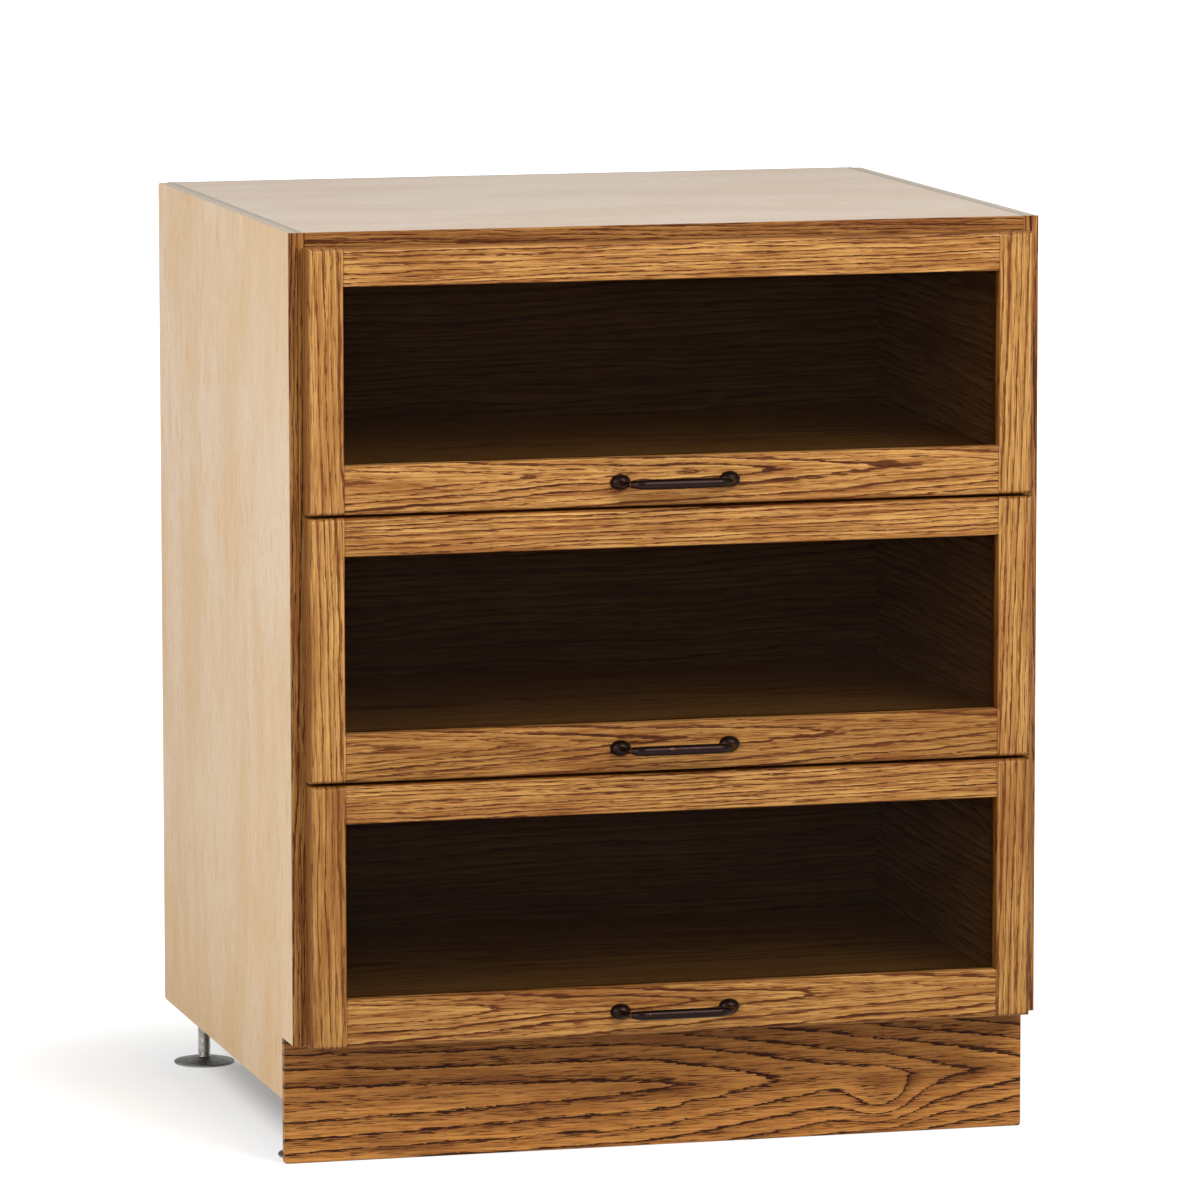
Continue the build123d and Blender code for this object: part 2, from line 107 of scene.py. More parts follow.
def srgb(red, green, blue):
    """A linear colour from the 0 to 255 values that a screen shows."""
    channels = []
    for value in (red, green, blue):
        share = value / screen_white
        if share <= curve_start:
            channels.append(share / curve_slope)
        else:
            channels.append(((share + curve_offset) / (1 + curve_offset)) ** curve_power)
    return (*channels, 1.0)


def grain(along, across, detail, roughness=0.5):
    """Settings of a noise drawn out along the grain, with its frequencies for each millimetre."""
    return {"factors": (along, across, across), "detail": detail, "roughness": roughness}


def even(rate, detail, roughness):
    """Settings of a noise that is alike in all directions, with its frequency for each millimetre."""
    return {"factors": (rate, rate, rate), "detail": detail, "roughness": roughness}


class Graph:
    """Adds shader nodes to one node tree and wires them, so that a finish reads as a formula."""

    def __init__(self, tree):
        self.tree = tree

    def put(self, socket, value):
        """Link an output to a socket, or set the socket's own value."""
        if isinstance(value, bpy.types.NodeSocket):
            self.tree.links.new(value, socket)
        else:
            socket.default_value = value

    def add(self, kind, inputs, **settings):
        """A node with its settings and its inputs by name or number."""
        node = self.tree.nodes.new(kind)
        for name, value in settings.items():
            setattr(node, name, value)
        for name, value in inputs.items():
            self.put(node.inputs[name], value)
        return node

    def math(self, operation, *values):
        """A number worked out from numbers."""
        return self.add("ShaderNodeMath", dict(enumerate(values)), operation=operation).outputs[0]

    def total(self, first, *others):
        """The sum of numbers."""
        for other in others:
            first = self.math("ADD", first, other)
        return first

    def product(self, first, *others):
        """The product of numbers."""
        for other in others:
            first = self.math("MULTIPLY", first, other)
        return first

    def vector(self, operation, *values):
        """A vector worked out from vectors."""
        return self.add("ShaderNodeVectorMath", dict(enumerate(values)), operation=operation).outputs[0]

    def scaled(self, vector, factors):
        """A vector with each part multiplied by its own factor."""
        return self.vector("MULTIPLY", vector, factors)

    def shifted(self, vector, shift):
        """A vector moved by another."""
        return self.vector("ADD", vector, shift)

    def length(self, vector):
        """The length of a vector."""
        return self.add("ShaderNodeVectorMath", {0: vector}, operation="LENGTH").outputs["Value"]

    def parts(self, vector):
        """The three numbers of a vector."""
        return self.add("ShaderNodeSeparateXYZ", {0: vector}).outputs[:]

    def joined(self, first, second, third):
        """A vector from three numbers."""
        return self.add("ShaderNodeCombineXYZ", {0: first, 1: second, 2: third}).outputs[0]

    def noise(self, vector, factors, detail, roughness=0.5):
        """Smooth noise from 0 to 1, with its frequency along each axis given per unit of the vector."""
        spread = self.scaled(vector, factors)
        inputs = {"Vector": spread, "Scale": 1.0, "Detail": detail, "Roughness": roughness}
        return self.add("ShaderNodeTexNoise", inputs).outputs[0]

    def swing(self, vector, reach, **settings):
        """Noise about zero that goes about as far as the reach each way."""
        centred = self.math("SUBTRACT", self.noise(vector, **settings), 0.5)
        return self.product(centred, 2 * reach)

    def drift(self, value):
        """Smooth noise from 0 to 1 along one number."""
        inputs = {"W": value, "Detail": 1.0, "Scale": 1.0}
        return self.add("ShaderNodeTexNoise", inputs, noise_dimensions="1D").outputs[0]

    def chance(self, number):
        """A random share from 0 to 1 for each whole number."""
        return self.add("ShaderNodeTexWhiteNoise", {"W": number}, noise_dimensions="1D").outputs["Value"]

    def smooth(self, value, low, high, to_low=0.0, to_high=1.0):
        """A smooth step from one number to another while the value goes from low to high."""
        inputs = {"Value": value, "From Min": low, "From Max": high, "To Min": to_low, "To Max": to_high}
        return self.add("ShaderNodeMapRange", inputs, interpolation_type="SMOOTHSTEP").outputs[0]

    def between(self, kind, share, low, high, **settings):
        """A mix of two values of one kind."""
        first, second, result = mix_sockets[kind]
        inputs = {0: share, first: low, second: high}
        return self.add("ShaderNodeMix", inputs, data_type=kind, **settings).outputs[result]

    def choose(self, share, low, high):
        """A number between two numbers."""
        return self.between("FLOAT", share, low, high)

    def mix_vector(self, share, low, high):
        """A vector between two vectors."""
        return self.between("VECTOR", share, low, high)

    def mix(self, share, low, high):
        """A colour between two colours."""
        return self.between("RGBA", share, low, high)

    def tinted(self, share, colour, tint):
        """A colour multiplied by a tint as far as the share says."""
        return self.between("RGBA", share, colour, tint, blend_type="MULTIPLY")

    def object_point(self):
        """The point of the surface in metres, in the frame of the whole part."""
        return self.add("ShaderNodeTexCoord", {}).outputs["Object"]

    def place(self):
        """The point of the surface in millimetres, in the frame of the whole part."""
        return self.scaled(self.object_point(), (mm_per_metre, mm_per_metre, mm_per_metre))

    def facing(self):
        """The parts of the surface's own direction along X, Y and Z."""
        return self.parts(self.add("ShaderNodeNewGeometry", {}).outputs["Normal"])

    def bump(self, height, distance):
        """A bent surface direction from a height, where a height of 1 is the distance in millimetres."""
        inputs = {"Height": height, "Distance": distance / mm_per_metre, "Strength": 1.0}
        return self.add("ShaderNodeBump", inputs).outputs[0]


def new_material(name):
    """A material with a Principled shader, and the graph that its nodes go into."""
    material = bpy.data.materials.new(name)
    material.use_nodes = True
    shader = material.node_tree.nodes["Principled BSDF"]
    return material, Graph(material.node_tree), shader


def dress(material, *node_names):
    """Give CAD nodes a finish."""
    for node_name in node_names:
        for slot in nodes[node_name].material_slots:
            slot.material = material


# Boards and their grain

# Axes along the grain, across it and into the board, by the axis that the grain follows
grain_axes = {"X": "XZY", "Y": "YZX", "Z": "ZXY"}

# Millimetres in the noise between boards with seeds in a row, and from the middle to each board of a pair
seed_step = (137.0, 53.0, 71.0)
pair_step = 91.0

# Gloss of the lacquer on oak and maple
lacquer_gloss = 0.12


def middle_of(node_name, paired):
    """The middle of a node in millimetres, or of the right-hand board of a pair."""
    low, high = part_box(node_name)
    middle = (low + high) / 2 * mm_per_metre
    if paired:
        points = [vertex.co.x for vertex in nodes[node_name].data.vertices if vertex.co.x > 0]
        middle.x = (min(points) + max(points)) / 2 * mm_per_metre
    return middle


def grain_vector(graph, along, centre, paired=False):
    """The place on a board, from its middle, as lengths along the grain, across it and into the board.

    A paired node holds a left and a right board, which are taken as mirror images. The second
    result is -1 on the left one and 1 on the right one.
    """
    x, y, z = graph.parts(graph.place())
    side = graph.math("SIGN", x)
    if paired:
        x = graph.math("ABSOLUTE", x)
    local = {}
    for axis, value, middle in zip("XYZ", (x, y, z), centre):
        local[axis] = graph.math("SUBTRACT", value, middle)
    return graph.joined(*[local[axis] for axis in grain_axes[along]]), side


def elsewhere(graph, vector, seed, side=None):
    """The same lengths moved to another place in the noise, so that no two boards are alike."""
    moved = graph.shifted(vector, tuple(seed * step for step in seed_step))
    if side is None:
        return moved
    step = graph.product(side, pair_step)
    return graph.shifted(moved, graph.joined(step, step, step))


# Oak

# Noise of the rings and of the marks in them
oak_noise = {
    "wander": grain(0.0032, 0.016, detail=1.0),
    "ripple": grain(0.013, 0.06, detail=2.0),
    "ragged": grain(0.055, 0.60, detail=2.0, roughness=0.65),
    "swell": grain(0.012, 0.09, detail=3.0),
    "dashes": grain(0.026, 0.42, detail=3.0, roughness=0.65),
    "pores": grain(0.042, 0.95, detail=2.0, roughness=0.6),
    "fibre": grain(0.012, 0.45, detail=4.0, roughness=0.7),
    "patch": grain(0.005, 0.040, detail=2.0),
}

# Stretch of each noise, and of the darkness, over which a mark or a colour sets in
oak_ranges = {
    "swell": (0.40, 0.74),
    "dashes": (0.38, 0.58),
    "pores": (0.53, 0.63),
    "fibre": (0.39, 0.61),
    "patch": (0.44, 0.74),
    "deep": (0.0, 0.55),
    "dark": (0.35, 1.0),
}

# Rings: the stretch in which a flare starts and that in which a dark line starts, in millimetres, and
# how fast the noise of the widths runs from ring to ring
flare_blend = 60.0
line_onset = 0.5
pace_rate = 0.45

# Marks: the share of a ring that the halo takes, the share of a line that is fully dark, the added
# density of pores at a line, the share of pores outside the halo, and the strength of the brown
halo_reach = 0.85
line_core = 0.4
early_pores = 0.10
pores_between = 0.32
brown_most = 0.58

# Surface: the roughness of plain wood and what lines and pores add to it, then the heights of lines,
# pores and fibres as shares of the relief, and the relief in millimetres
oak_roughness = 0.40
line_roughness = 0.18
pore_roughness = 0.15
line_height = -0.5
pore_height = -0.8
fibre_height = 0.25
oak_relief = 0.22

# Looks of the boards. The colours go from pale wood to the darkest line, and the shares say how strong
# the marks are. A line takes from line_low to line_high of its ring, the dense pores reach as far as
# early, and pace says how much the widths of the rings vary. The rings' widths and bends and the place
# of the pith, from the middle of the board, are in millimetres, and taper is the slope of the cones
oak_look = {
    "light": srgb(206, 155, 88), "mid": srgb(159, 106, 51), "brown": srgb(132, 75, 30),
    "deep": srgb(108, 57, 22), "dark": srgb(56, 24, 6),
    "line_share": 1.0, "pore_share": 0.80, "faintest_ring": 0.30, "halo_share": 0.55, "unbroken": 0.75,
    "line_low": 0.10, "line_high": 0.34, "early": 0.35, "pace": 2.0,
    "ring_width": 5.6, "ring_start": 0.0, "ragged": 1.4, "ripple": 2.4, "wander": 6.0,
    "pith_depth": 14.0, "pith_across": 60.0, "taper": 0.02,
}
top_rail_look = dict(oak_look, ring_width=5.0, taper=0.012)
bottom_rail_look = dict(
    oak_look, line_low=0.09, line_high=0.38,
    ring_width=6.4, ragged=1.8, ripple=3.0, wander=8.0, pith_across=8.0, taper=0.045,
)
stile_look = dict(
    oak_look, light=srgb(200, 152, 87), mid=srgb(167, 117, 60),
    line_share=0.70, pore_share=0.70, faintest_ring=0.15, halo_share=0.40, unbroken=0.50,
    ring_width=5.8, ripple=2.8, wander=8.0, pith_across=30.0, taper=0.03,
)
band_look = dict(
    oak_look, light=srgb(194, 144, 82), mid=srgb(156, 104, 52),
    line_share=0.80, ring_width=4.4, wander=3.0,
)
box_look = dict(
    oak_look, light=srgb(196, 144, 78), line_share=0.45, pore_share=0.6,
    ring_width=8.0, ragged=2.0, ripple=4.0, wander=14.0, pith_across=70.0,
)
# Drawer floors: a paler, warmer copy of the box oak, painted light for the light that falls on them through
# the glass
box_bottom_painted_light_look = dict(
    box_look, light=srgb(236, 178, 92), mid=srgb(218, 152, 68), brown=srgb(194, 122, 50),
    deep=srgb(160, 94, 36), dark=srgb(120, 68, 26),
)

# The toe kick is one flat-sawn board. Its rings crowd away from the pith, its arches widen past the
# middle, and the grain swells round a bulb near its right end
toe_kick_look = dict(
    oak_look, light=srgb(200, 140, 72), mid=srgb(166, 106, 50), brown=srgb(114, 64, 26),
    deep=srgb(88, 46, 19), dark=srgb(50, 21, 6),
    pore_share=0.88, faintest_ring=0.90, halo_share=0.80, unbroken=0.80,
    line_low=0.07, line_high=0.25, early=0.28, pace=0.35,
    ring_width=22.0, ring_start=10.85, ragged=5.0, ripple=3.6, wander=5.0,
    pith_depth=3.0, pith_across=-3.0, taper=0.036, crowd=0.008, flare=0.198,
    bulb={"along": 222.0, "across": -26.0, "half_length": 33.0, "half_height": 25.0, "rings": 1.75},
)

# Painted shade of the overhanging fronts on the toe kick: a duller tint towards its upper edge, by the
# height in millimetres
toe_kick_painted_shade_tint = (0.62, 0.60, 0.59, 1.0)
toe_kick_painted_shade_heights = (82.0, 112.0)

# Stain: tones by drawer, and how a tone acts on red, green and blue
stile_tones = {1: 1.0, 2: 1.0, 3: 0.88}
top_rail_tones = {1: 1.0, 2: 1.0, 3: 0.93}
bottom_rail_tones = {1: 1.0, 2: 0.76, 3: 0.88}
tone_powers = (1.0, 1.15, 1.5)

# Darker stain and painted shade on the edges of the fronts: the tint, how far a face must turn to an axis
# to be an edge, and the axis that the dark edges of a board look along with the share of the tint
edge_stain_and_shade_tint = (0.56, 0.43, 0.30, 1.0)
edge_turn = (0.25, 0.85)
stile_stained_shaded_edges = (("X", 1.0), ("Z", 0.7))
top_rail_stained_shaded_edges = (("Z", 0.7),)
# Painted shade on the case's front edge bands, as shares of the edge tint on the upright bands and on those
# across
band_upright_painted_shade = 0.35
band_across_painted_shade = 0.52

# Dark line between rails and stiles, in millimetres
joint_line_width = 1.4
joint_line_share = 0.65
joint_line_colour = srgb(66, 33, 14)


def bulb_depth(graph, along, across, bulb):
    """Rings by which the grain swells round one place on a board."""
    far_along = graph.math("DIVIDE", graph.math("SUBTRACT", along, bulb["along"]), bulb["half_length"])
    far_across = graph.math("DIVIDE", graph.math("SUBTRACT", across, bulb["across"]), bulb["half_height"])
    square = graph.total(graph.product(far_along, far_along), graph.product(far_across, far_across))
    return graph.product(graph.math("EXPONENT", graph.product(square, -1.0)), bulb["rings"])


def rings_at(graph, vector, spot, look):
    """How many rings lie between the pith and a point, if all have one width.

    The rings are cones round a pith behind the face, so the face cuts them in nested arches.
    """
    along, across, depth = graph.parts(vector)
    off = graph.math("SUBTRACT", across, look["pith_across"])
    behind = graph.total(depth, look["pith_depth"])
    radius = graph.math("SQRT", graph.total(graph.product(off, off), graph.product(behind, behind)))
    if "crowd" in look:
        radius = graph.total(radius, graph.product(radius, radius, look["crowd"]))
    cone = graph.product(along, look["taper"])
    if "flare" in look:
        beyond = graph.math("SMOOTH_MAX", along, 0.0, flare_blend)
        cone = graph.total(cone, graph.product(beyond, look["flare"]))
    bends = [graph.swing(spot, look[name], **oak_noise[name]) for name in ("wander", "ripple", "ragged")]
    reach = graph.total(radius, cone, *bends, look["ring_start"])
    rings = graph.math("DIVIDE", reach, look["ring_width"])
    if "bulb" in look:
        rings = graph.math("SUBTRACT", rings, bulb_depth(graph, along, across, look["bulb"]))
    return rings


def ring_turn(graph, vector, spot, look, onset):
    """Where a point lies in its ring, from 0 to 1, and how bold the dark line of that ring is."""
    rings = rings_at(graph, vector, spot, look)
    pace = graph.drift(graph.product(rings, pace_rate))
    count = graph.total(rings, graph.product(pace, look["pace"]))
    ring_number = graph.math("FLOOR", graph.total(count, onset))
    bold = graph.choose(graph.chance(ring_number), look["faintest_ring"], 1.0)
    return graph.math("FRACT", count), bold


def oak_marks(graph, vector, spot, look):
    """Shares of dark line, of pores and of brown halo at a point.

    Each ring starts with a dark ragged line of open pores, goes on through a brown halo and ends as
    pale plain wood.
    """
    onset = line_onset / look["ring_width"]
    turn, bold = ring_turn(graph, vector, spot, look, onset)
    swell = graph.noise(spot, **oak_noise["swell"])
    line_width = graph.smooth(swell, *oak_ranges["swell"], look["line_low"], look["line_high"])
    line = graph.smooth(turn, graph.product(line_width, line_core), line_width, 1.0, 0.0)
    line = graph.math("MAXIMUM", line, graph.smooth(turn, 1.0 - onset, 1.0))
    dashes = graph.smooth(graph.noise(spot, **oak_noise["dashes"]), *oak_ranges["dashes"])
    broken = graph.total(look["unbroken"], graph.product(dashes, 1.0 - look["unbroken"]))
    line_share = graph.product(line, broken, bold, look["line_share"])

    halo = graph.product(graph.smooth(turn, 0.0, halo_reach, 1.0, 0.0), look["halo_share"])
    early = graph.smooth(turn, 0.0, look["early"], early_pores, 0.0)
    pores = graph.total(graph.noise(spot, **oak_noise["pores"]), early)
    pores = graph.smooth(pores, *oak_ranges["pores"])
    pore_share = graph.product(pores, graph.total(pores_between, halo), look["pore_share"])
    return line_share, pore_share, halo


def oak_finish(graph, shader, vector, spot, look):
    """Ring-porous oak under a warm stain and satin lacquer.

    The vector gives the rings, and the spot gives the noise.
    """
    line_share, pore_share, halo = oak_marks(graph, vector, spot, look)
    fibre = graph.noise(spot, **oak_noise["fibre"])
    patch = graph.noise(spot, **oak_noise["patch"])
    plain = graph.mix(graph.smooth(fibre, *oak_ranges["fibre"]), look["mid"], look["light"])
    brown = graph.total(halo, graph.smooth(patch, *oak_ranges["patch"]))
    plain = graph.mix(graph.product(brown, brown_most), plain, look["brown"])
    darkness = graph.math("MAXIMUM", line_share, pore_share)
    colour = graph.mix(graph.smooth(darkness, *oak_ranges["deep"]), plain, look["deep"])
    colour = graph.mix(graph.smooth(darkness, *oak_ranges["dark"]), colour, look["dark"])

    rough_line = graph.product(line_share, line_roughness)
    rough_pore = graph.product(pore_share, pore_roughness)
    sunk_line = graph.product(line_share, line_height)
    sunk_pore = graph.product(pore_share, pore_height)
    height = graph.total(sunk_line, sunk_pore, graph.product(fibre, fibre_height))
    graph.put(shader.inputs["Roughness"], graph.total(oak_roughness, rough_line, rough_pore))
    graph.put(shader.inputs["Normal"], graph.bump(height, oak_relief))
    shader.inputs["Specular IOR Level"].default_value = lacquer_gloss
    return colour


def toned(look, share):
    """The same wood under a darker stain, which leaves a share of its light."""
    stain = [share ** power for power in tone_powers] + [1.0]
    plain = {
        name: tuple(channel * part for channel, part in zip(look[name], stain))
        for name in ("light", "mid", "brown")
    }
    return dict(look, **plain)


def joint_shade(graph, colour, edge):
    """A thin dark line at both ends of a rail, where it meets the stiles."""
    x = graph.parts(graph.place())[0]
    near = graph.smooth(graph.math("ABSOLUTE", x), edge - joint_line_width, edge)
    return graph.mix(graph.product(near, joint_line_share), colour, joint_line_colour)


def edge_stain_and_shade(graph, colour, axis, share):
    """Darker stain and painted shade on the edges that look along one axis."""
    turned = graph.facing()["XYZ".index(axis)]
    edge = graph.smooth(graph.math("ABSOLUTE", turned), *edge_turn)
    return graph.tinted(graph.product(edge, share), colour, edge_stain_and_shade_tint)


def painted_overhang_shade(graph, colour):
    """Painted shade towards the upper edge of the toe kick, where the fronts overhang it."""
    height = graph.parts(graph.place())[2]
    return graph.tinted(graph.smooth(height, *toe_kick_painted_shade_heights), colour, toe_kick_painted_shade_tint)


def oak_board(node_name, along, seed, look, paired=False, joint_edge=0.0, stained_shaded_edges=(), painted_top_shade=False):
    """An oak finish for a node whose boards have their grain along one axis."""
    material, graph, shader = new_material("oak_" + node_name)
    vector, side = grain_vector(graph, along, middle_of(node_name, paired), paired)
    spot = elsewhere(graph, vector, seed, side if paired else None)
    colour = oak_finish(graph, shader, vector, spot, look)
    # Painted shadow under the overhanging fronts
    if painted_top_shade:
        colour = painted_overhang_shade(graph, colour)
    if joint_edge:
        colour = joint_shade(graph, colour, joint_edge)
    # Painted shade with the stain on the edges that face along each axis
    for axis, share in stained_shaded_edges:
        colour = edge_stain_and_shade(graph, colour, axis, share)
    graph.put(shader.inputs["Base Color"], colour)
    dress(material, node_name)


def oak_strips(node_name, seed, look, split, upright_shade=0.0, across_shade=0.0):
    """Oak for a node whose upright strips lie beyond the split in X and whose other strips run across, with
    painted shade on each kind of strip as far as its share says.
    """
    material, graph, shader = new_material("oak_" + node_name)
    x, y, z = graph.parts(graph.place())
    upright = graph.math("GREATER_THAN", graph.math("ABSOLUTE", x), split)
    vector = graph.mix_vector(upright, graph.joined(x, z, y), graph.joined(z, x, y))
    colour = oak_finish(graph, shader, vector, elsewhere(graph, vector, seed), look)
    # Painted shade on the strips, by their kind
    painted_shade_colour = graph.tinted(graph.choose(upright, across_shade, upright_shade), colour, edge_stain_and_shade_tint)
    graph.put(shader.inputs["Base Color"], painted_shade_colour)
    dress(material, node_name)


# Maple

# Noise of the veneer's marks, and the stretch of each over which a colour or the roughness sets in
maple_noise = {
    "drift": grain(0.010, 0.02, detail=1.0),
    "cloud": grain(0.0035, 0.010, detail=3.0, roughness=0.6),
    "feather": grain(0.017, 0.070, detail=3.0, roughness=0.6),
    "fleck": grain(0.045, 0.16, detail=4.0, roughness=0.7),
    "fibre": grain(0.10, 0.60, detail=3.0, roughness=0.7),
}
maple_ranges = {
    "cloud": (0.38, 0.62),
    "feather": (0.54, 0.80),
    "fleck": (0.48, 0.72),
    "fibre": (0.35, 0.75),
    "rough_fibre": (0.2, 0.8),
}

# Bend of the grain and relief in millimetres, and the least and the most roughness
maple_drift = 7.0
maple_relief = 0.05
maple_roughness = (0.42, 0.52)

maple_look = {
    "light": srgb(230, 205, 175), "warm": srgb(223, 189, 147), "streak": srgb(214, 170, 112),
    "fibre": srgb(188, 150, 106), "streak_share": 0.75, "fleck_share": 0.55, "fibre_share": 0.26,
}
top_look = dict(
    maple_look, light=srgb(214, 198, 182), warm=srgb(208, 188, 168), streak=srgb(202, 180, 156),
    streak_share=0.4, fleck_share=0.45,
)
inner_look = dict(
    maple_look, light=srgb(214, 190, 158), warm=srgb(204, 176, 138), streak=srgb(190, 154, 110),
)

# Painted shade on the end panels towards the floor: a warmer, darker tint by the height in millimetres
end_panel_painted_shade_tint = (0.93, 0.88, 0.78, 1.0)
end_panel_painted_shade_heights = (100.0, 800.0)

# Bare chipboard on cut edges: dark and light chips, and how far a cut face turns up or down
outer_core = (srgb(172, 156, 139), srgb(200, 184, 165))
inner_core = (srgb(150, 138, 124), srgb(182, 169, 154))
chip_noise = even(0.45, detail=3.0, roughness=0.7)
chip_range = (0.3, 0.7)
cut_turn = 0.8


def maple_finish(graph, shader, vector, look):
    """Pale close-grained veneer with short feathered streaks, flecks and warm clouds."""
    drift = graph.swing(vector, maple_drift, **maple_noise["drift"])
    bent = graph.shifted(vector, graph.joined(0.0, drift, drift))
    cloud = graph.smooth(graph.noise(vector, **maple_noise["cloud"]), *maple_ranges["cloud"])
    streak = graph.smooth(graph.noise(bent, **maple_noise["feather"]), *maple_ranges["feather"])
    fleck = graph.smooth(graph.noise(bent, **maple_noise["fleck"]), *maple_ranges["fleck"])
    fibre = graph.noise(bent, **maple_noise["fibre"])
    fibre_share = graph.smooth(fibre, *maple_ranges["fibre"], 0.0, look["fibre_share"])
    colour = graph.mix(cloud, look["light"], look["warm"])
    colour = graph.mix(graph.product(streak, look["streak_share"]), colour, look["streak"])
    colour = graph.mix(graph.product(fleck, look["fleck_share"]), colour, look["streak"])
    colour = graph.mix(fibre_share, colour, look["fibre"])
    roughness = graph.smooth(fibre, *maple_ranges["rough_fibre"], *maple_roughness)
    graph.put(shader.inputs["Roughness"], roughness)
    graph.put(shader.inputs["Normal"], graph.bump(fibre, maple_relief))
    shader.inputs["Specular IOR Level"].default_value = lacquer_gloss
    return colour


def painted_low_shade(graph, colour):
    """Painted shade: a warmer, darker tint towards the floor."""
    height = graph.parts(graph.place())[2]
    return graph.tinted(graph.smooth(height, *end_panel_painted_shade_heights, 1.0, 0.0), colour, end_panel_painted_shade_tint)


def core_finish(graph, colour, core):
    """Bare chipboard where the edges of a board look up or down."""
    turned = graph.math("ABSOLUTE", graph.facing()[2])
    chips = graph.noise(graph.place(), **chip_noise)
    bare = graph.mix(graph.smooth(chips, *chip_range), *core)
    return graph.mix(graph.math("GREATER_THAN", turned, cut_turn), colour, bare)


def maple_board(name, along, seed, look, core=None, painted_shade_low=False):
    """A veneered board with its grain along one axis."""
    material, graph, shader = new_material(name)
    vector, _ = grain_vector(graph, along, (0.0, 0.0, 0.0))
    colour = maple_finish(graph, shader, elsewhere(graph, vector, seed), look)
    # Painted shade towards the floor
    if painted_shade_low:
        colour = painted_low_shade(graph, colour)
    if core:
        colour = core_finish(graph, colour, core)
    graph.put(shader.inputs["Base Color"], colour)
    return material


# Metal and glass

# Relief of cast and drawn metal, in millimetres
metal_relief = 0.02

# Bronze of the handles
bronze_colour = srgb(35, 25, 23)
bronze_worn_colour = srgb(96, 58, 40)
bronze_rim_colour = srgb(176, 104, 66)
bronze_cast_noise = even(0.5, detail=3.0, roughness=0.6)
bronze_cast_range = (0.25, 0.75)
bronze_roughness = (0.24, 0.34)
bronze_worn_noise = even(0.11, detail=4.0, roughness=0.65)
bronze_worn_range = (0.58, 0.80)
bronze_worn_most = 0.35

# Worn rim at the blunt ends of the grips, in millimetres from the middle, from the front and across
# the rim
grip_rim_x = 47.2
grip_rim_out = 21.3
grip_rim_start = (-0.2, 0.1)
grip_rim_end = (0.4, 0.9)
grip_rim_share = 0.7

# Steel: two colours, the frequencies of the streaks for each millimetre, the least roughness, and the
# lighter colour of upright rims where it differs, which is a painted highlight
steel_looks = {
    "slide_steel": {
        "light": srgb(202, 203, 205), "dark": srgb(160, 161, 164),
        "streaks": (0.9, 0.02, 0.9), "roughness": 0.28,
    },
    "screw_steel": {
        "light": srgb(196, 196, 194), "dark": srgb(150, 150, 148),
        "streaks": (0.5, 0.5, 0.5), "roughness": 0.32,
    },
    "stem_steel": {
        "light": srgb(206, 203, 198), "dark": srgb(150, 147, 142),
        "streaks": (0.5, 0.5, 0.2), "roughness": 0.36,
    },
    "pad_steel": {
        "light": srgb(96, 94, 90), "dark": srgb(62, 60, 58),
        "streaks": (0.3, 0.3, 0.3), "roughness": 0.40, "rim": srgb(146, 144, 140),
    },
}

# Streaks and stains of the steel, and how far a face that gets no painted rim highlight turns up or down
streak_detail = 3.0
streak_roughness = 0.6
streak_range = (0.3, 0.7)
stain_noise = even(0.08, detail=4.0, roughness=0.65)
stain_range = (0.5, 0.8)
stain_most = 0.5
stain_rough_range = (0.3, 0.7)
stain_added_roughness = 0.14
rim_highlight_turn = (0.3, 0.8)

# Glass of the drawers. The cover is the share of what lies behind it that the tint hides
glass_tints = (srgb(15, 8, 3), srgb(21, 13, 7))
glass_haze_rates = (0.004, 0.004, 0.012)
glass_haze_detail = 2.0
glass_roughness = 0.04
glass_ior = 1.5
glass_gloss = 0.03
glass_cover = 0.44


def bronze():
    """Dark oil-rubbed bronze, worn to copper on the rims at both ends of the grips."""
    material, graph, shader = new_material("dark_bronze")
    point = graph.place()
    x, y, _ = graph.parts(point)
    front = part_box("drawer_1_handle")[1].y * mm_per_metre
    inwards = graph.math("SUBTRACT", grip_rim_x, graph.math("ABSOLUTE", x))
    outwards = graph.math("SUBTRACT", front - grip_rim_out, y)
    past_rim = graph.product(graph.total(inwards, outwards), math.sqrt(0.5))
    started = graph.smooth(past_rim, *grip_rim_start)
    rim = graph.product(started, graph.smooth(past_rim, *grip_rim_end, 1.0, 0.0))
    cast = graph.noise(point, **bronze_cast_noise)
    worn = graph.smooth(graph.noise(point, **bronze_worn_noise), *bronze_worn_range, 0.0, bronze_worn_most)
    colour = graph.mix(worn, bronze_colour, bronze_worn_colour)
    colour = graph.mix(graph.product(rim, grip_rim_share), colour, bronze_rim_colour)
    graph.put(shader.inputs["Base Color"], colour)
    graph.put(shader.inputs["Roughness"], graph.smooth(cast, *bronze_cast_range, *bronze_roughness))
    graph.put(shader.inputs["Normal"], graph.bump(cast, metal_relief))
    shader.inputs["Metallic"].default_value = 1.0
    return material


